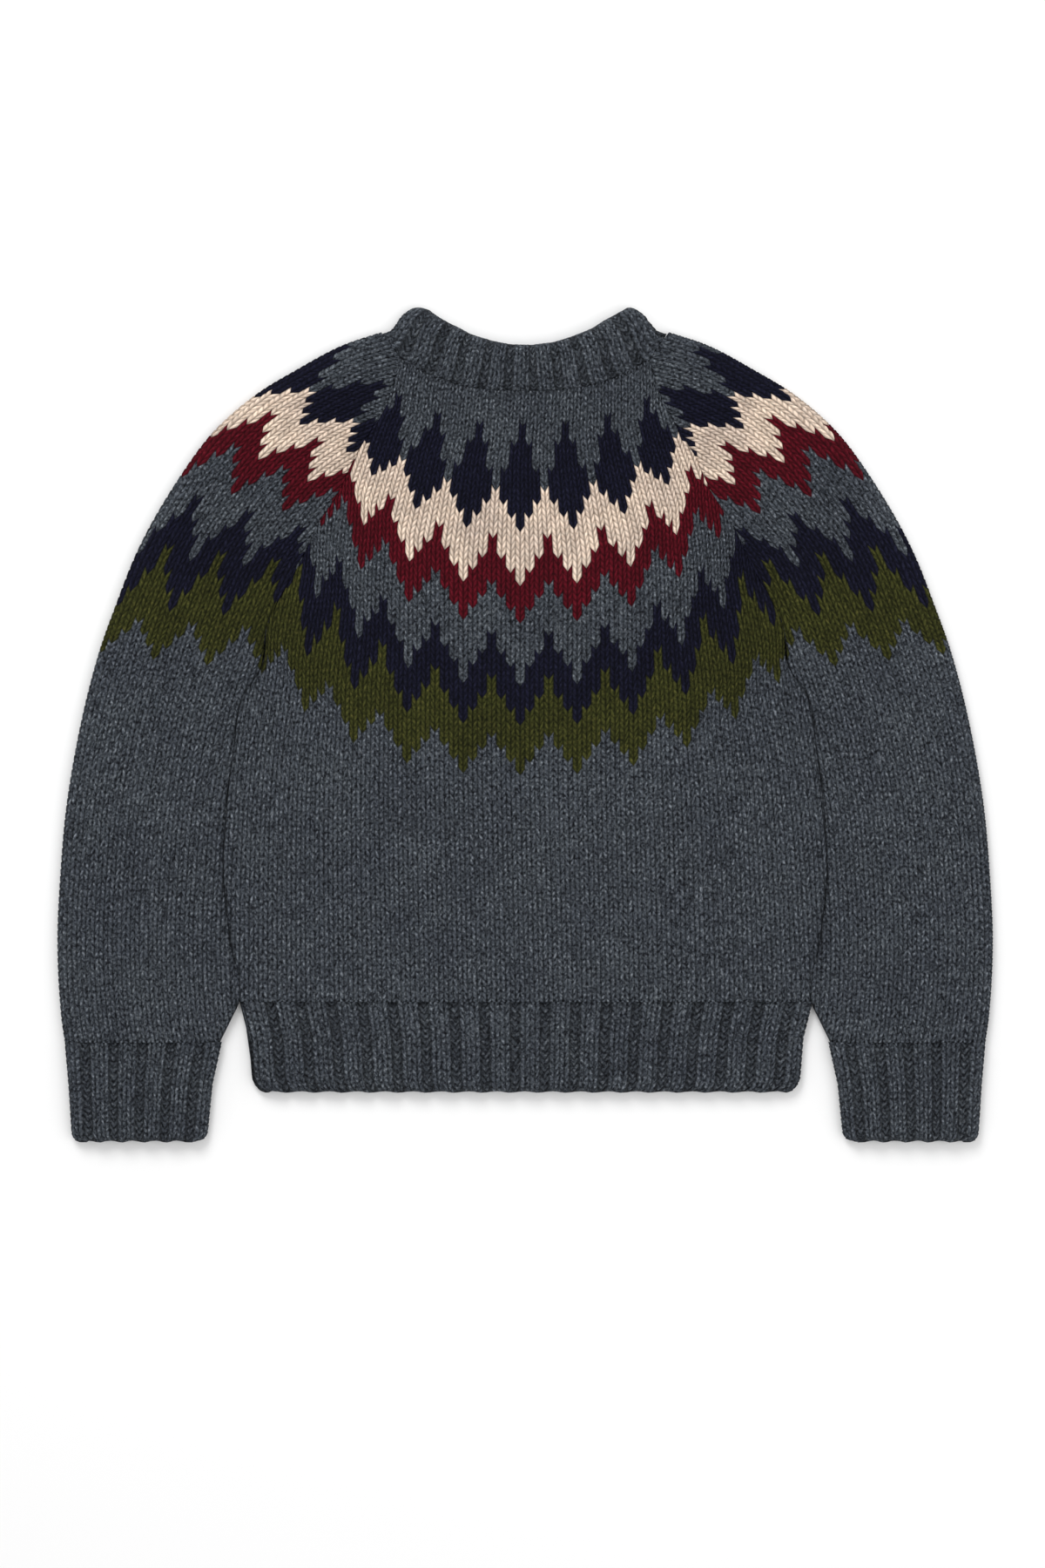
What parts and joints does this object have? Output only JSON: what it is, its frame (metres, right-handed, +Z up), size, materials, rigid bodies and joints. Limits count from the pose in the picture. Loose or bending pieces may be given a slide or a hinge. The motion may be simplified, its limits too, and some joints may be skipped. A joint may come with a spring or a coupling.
{
  "type": "knitted yoke sweater",
  "caption": "Chunky knitted pullover laid flat: patterned round yoke, long raglan sleeves, folded ribbed neckband, ribbed hem and cuffs.",
  "frame": {"origin": "centre of the garment's bounding box in plan, on the surface it lies on", "axes": "+X across the chest toward the wearer's left sleeve, +Y toward the neck, +Z up out of the front"},
  "size_m": [0.75, 0.672, 0.0125],
  "materials": {
    "grey_wool": "matte heather blue-grey chunky wool, with yoke bands in olive, navy, burgundy and cream"
  },
  "bodies": {
    "root": {"front_panel": "grey_wool", "back_panel": "grey_wool", "hem_rib_front": "grey_wool", "hem_rib_back": "grey_wool", "sleeve_right": "grey_wool", "sleeve_left": "grey_wool", "cuff_right": "grey_wool", "cuff_left": "grey_wool", "neckband": "grey_wool"}
  },
  "joints": []
}
